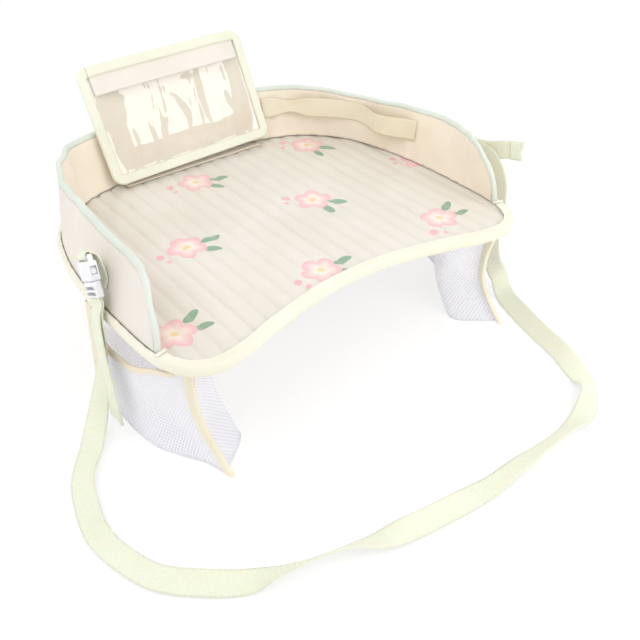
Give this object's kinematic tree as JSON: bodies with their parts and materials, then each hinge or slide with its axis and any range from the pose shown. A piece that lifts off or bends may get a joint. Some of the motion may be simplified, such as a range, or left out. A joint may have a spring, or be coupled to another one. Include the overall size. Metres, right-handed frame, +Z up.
{
  "type": "car seat tray table",
  "caption": "Quilted child's lap tray for a car seat, with a soft padded wall, a folding window pouch, mesh side pockets and a long webbing strap closed by side release buckles.",
  "frame": {"origin": "middle of the tray's underside, on the bottom cover", "axes": "+X to the right as the child sees it, +Y from the open front to the back wall, +Z up"},
  "size_m": [0.5288, 0.5226, 0.2357],
  "materials": {
    "tray_cloth": "plain woven polyester",
    "quilted_cloth": "quilted, under clear film",
    "clear_film": "clear flexible film",
    "window_film": "clear flexible film",
    "stiffener": "sheet board, hidden",
    "foam": "foam sheet, hidden",
    "wall_cloth": "plain woven polyester",
    "wall_lining_cloth": "plain woven polyester",
    "mint_piping": "woven edging",
    "cream_binding": "sewn binding",
    "pouch_tape": "ribbed binding tape",
    "pocket_tape": "binding tape",
    "header_cloth": "plain woven polyester",
    "elastic": "woven elastic",
    "pocket_mesh": "knitted mesh",
    "buckle_plastic": "moulded acetal, satin",
    "webbing": "ribbed webbing"
  },
  "bodies": {
    "tray": {"bottom_cover": "tray_cloth", "board_core": "stiffener", "quilted_top": "quilted_cloth", "clear_top_film": "clear_film", "rim_binding": "cream_binding", "wall_outer_panel": "wall_cloth", "wall_board": "stiffener", "wall_foam": "foam", "wall_lining": "wall_lining_cloth", "wall_piping": "mint_piping", "left_end_tab": "cream_binding", "right_end_tab": "cream_binding", "elastic_band": "elastic", "pouch_hinge_tape": "pouch_tape", "left_pocket_outer": "pocket_mesh", "left_pocket_inner": "pocket_mesh", "left_pocket_bottom": "pocket_mesh", "left_pocket_hem": "pocket_tape", "left_pocket_front_binding": "pocket_tape", "left_pocket_rear_binding": "pocket_tape", "right_pocket_outer": "pocket_mesh", "right_pocket_inner": "pocket_mesh", "right_pocket_bottom": "pocket_mesh", "right_pocket_hem": "pocket_tape", "right_pocket_front_binding": "pocket_tape", "right_pocket_rear_binding": "pocket_tape", "left_buckle_socket": "buckle_plastic", "left_buckle_plug": "buckle_plastic", "right_buckle_socket": "buckle_plastic", "right_buckle_plug": "buckle_plastic", "left_anchor_web": "webbing", "right_anchor_web": "webbing", "left_strap_tail": "webbing", "right_strap_tail": "webbing", "long_strap": "webbing"},
    "pouch": {"pouch_window": "window_film", "pouch_back": "wall_lining_cloth", "pouch_board": "stiffener", "pouch_header": "header_cloth", "pouch_binding": "pouch_tape", "pouch_front_lip": "pouch_tape", "pouch_back_lip": "pouch_tape"},
    "left_prong_a": {"left_prong_a": "buckle_plastic"},
    "left_prong_b": {"left_prong_b": "buckle_plastic"},
    "right_prong_a": {"right_prong_a": "buckle_plastic"},
    "right_prong_b": {"right_prong_b": "buckle_plastic"}
  },
  "joints": [
    {"name": "pouch_fold", "type": "hinge", "parent": "tray", "child": "pouch", "pos_m": [0, 0.14131, 0.013], "axis": [1, 0, 0], "range_deg": [0, 108]},
    {"name": "left_prong_a_squeeze", "type": "hinge", "parent": "tray", "child": "left_prong_a", "pos_m": [-0.20383, -0.04146, 0.0377], "axis": [-0.9953, 0.0046, 0.0971], "range_deg": [0, 10], "stiffness_Nm_per_rad": 0.05},
    {"name": "left_prong_b_squeeze", "type": "hinge", "parent": "tray", "child": "left_prong_b", "pos_m": [-0.20457, -0.02556, 0.0293], "axis": [0.9953, -0.0046, -0.0971], "range_deg": [0, 10], "stiffness_Nm_per_rad": 0.05},
    {"name": "right_prong_a_squeeze", "type": "hinge", "parent": "tray", "child": "right_prong_a", "pos_m": [0.21813, -0.04683, 0.03281], "axis": [0.9948, 0.0995, 0.02], "range_deg": [0, 10], "stiffness_Nm_per_rad": 0.05},
    {"name": "right_prong_b_squeeze", "type": "hinge", "parent": "tray", "child": "right_prong_b", "pos_m": [0.21787, -0.04777, 0.05079], "axis": [-0.9948, -0.0995, -0.02], "range_deg": [0, 10], "stiffness_Nm_per_rad": 0.05}
  ]
}
